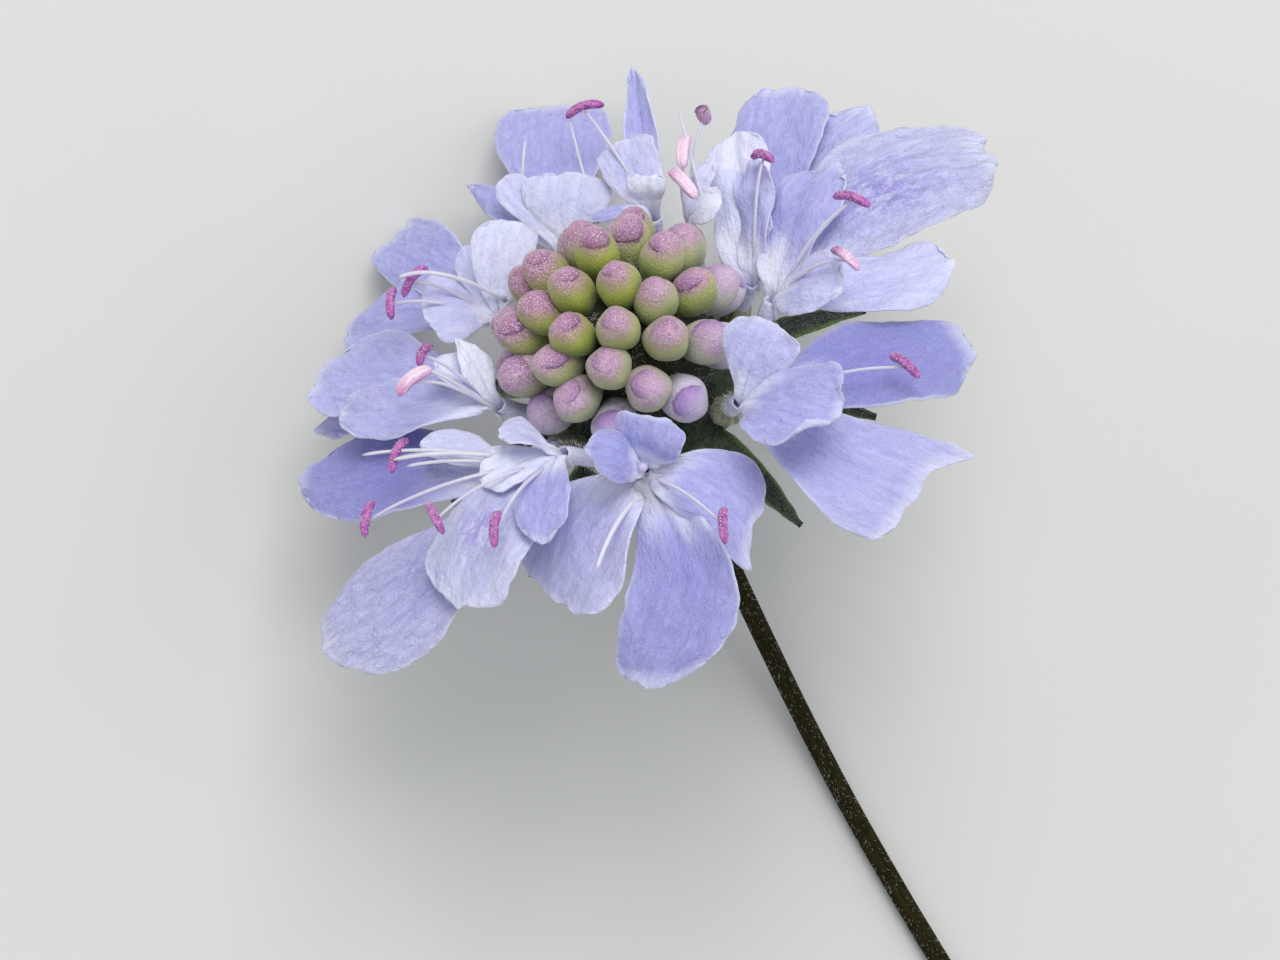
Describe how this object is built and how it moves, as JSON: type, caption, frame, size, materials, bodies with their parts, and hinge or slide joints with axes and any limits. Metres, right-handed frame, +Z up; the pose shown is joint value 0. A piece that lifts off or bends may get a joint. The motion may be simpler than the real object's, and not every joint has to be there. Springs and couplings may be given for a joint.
{
  "type": "scabiosa flower",
  "caption": "Cut scabiosa (pincushion) flower lying on its stem: a dome of buds ringed by open lavender florets with stamens, over narrow green bracts.",
  "frame": {"origin": "middle of the flower's footprint, on the surface it lies on", "axes": "+Z up from the surface; +Y along the stem from its cut end to the head; the flower faces along +Y and 40 degrees up"},
  "size_m": [0.0384, 0.092, 0.0254],
  "materials": {
    "stem": "matt brown-green, finely ribbed and hairy",
    "bract": "matt dark green, rough with short hairs",
    "bud": "soft matt, green to mauve, with fine down",
    "petal": "thin, matt, lavender-blue with pale edges",
    "filament": "translucent white",
    "anther": "smooth magenta pink"
  },
  "bodies": {
    "root": {"peduncle": "stem", "involucre": "bract", "bud_dome": "bud", "floret_south": "petal", "floret_southwest": "petal", "floret_west_southwest": "petal", "floret_west": "petal", "floret_northwest": "petal", "floret_north_northwest": "petal", "floret_north": "petal", "floret_north_northeast": "petal", "floret_northeast": "petal", "floret_east": "petal", "floret_southeast": "petal"}
  },
  "joints": []
}
